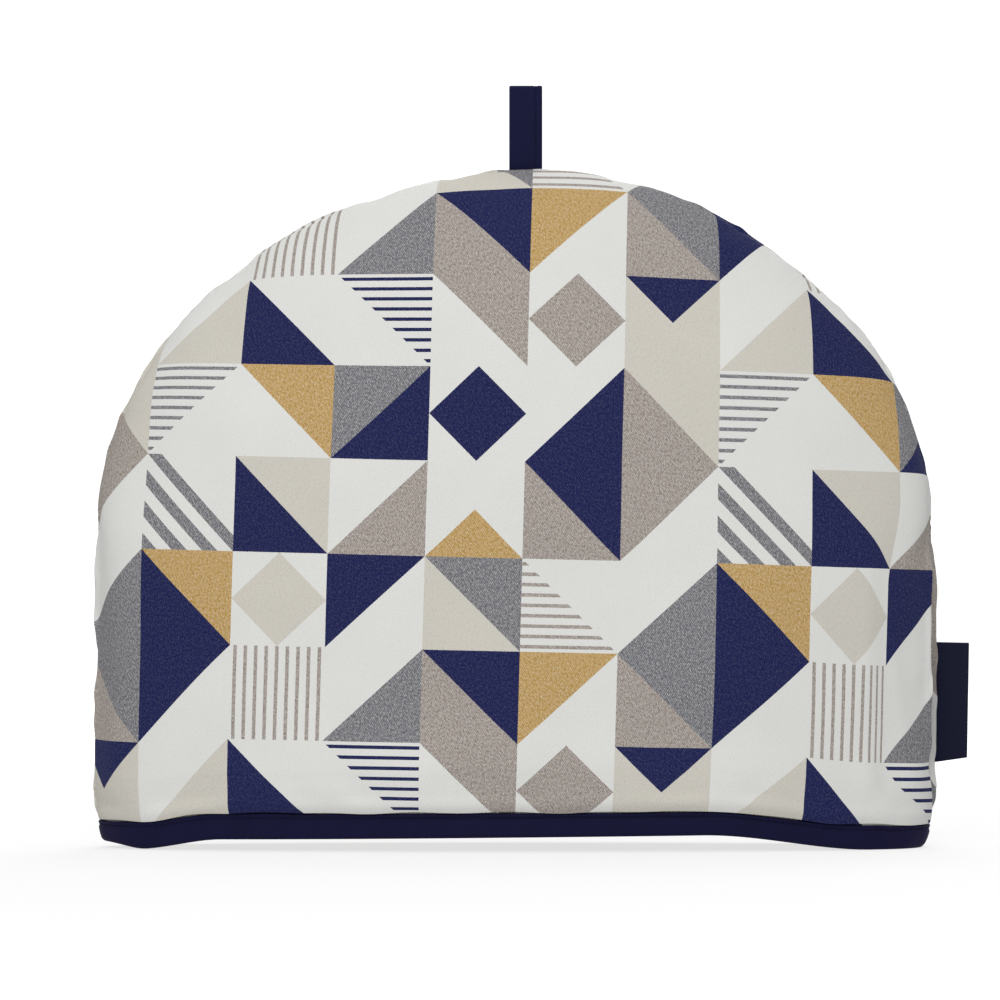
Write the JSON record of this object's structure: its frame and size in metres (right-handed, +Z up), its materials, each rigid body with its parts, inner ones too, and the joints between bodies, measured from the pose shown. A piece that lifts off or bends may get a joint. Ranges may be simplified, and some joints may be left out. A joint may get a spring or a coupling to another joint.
{
  "type": "tea cosy",
  "caption": "Padded half-dome tea cosy with a bound hem, a hanging loop in the top seam and a bare woven tab at one side, standing open on its hem.",
  "frame": {"origin": "middle of the footprint on the surface that the hem stands on", "axes": "+X across the cosy towards the side tab, -Y its front, +Z up to the hanging loop"},
  "size_m": [0.3494, 0.1062, 0.3041],
  "materials": {
    "printed_twill": "cotton twill printed with off-white, navy, taupe, grey and ochre geometric shapes, matt",
    "navy_bias": "navy cotton bias strip, smooth and nearly matt",
    "navy_tape": "navy folded cotton tape, edge-stitched",
    "navy_satin": "dark navy woven satin, bare"
  },
  "bodies": {
    "root": {"front_panel": "printed_twill", "back_panel": "printed_twill", "hem_binding": "navy_bias", "hanging_loop": "navy_tape", "side_label": "navy_satin"}
  },
  "joints": []
}
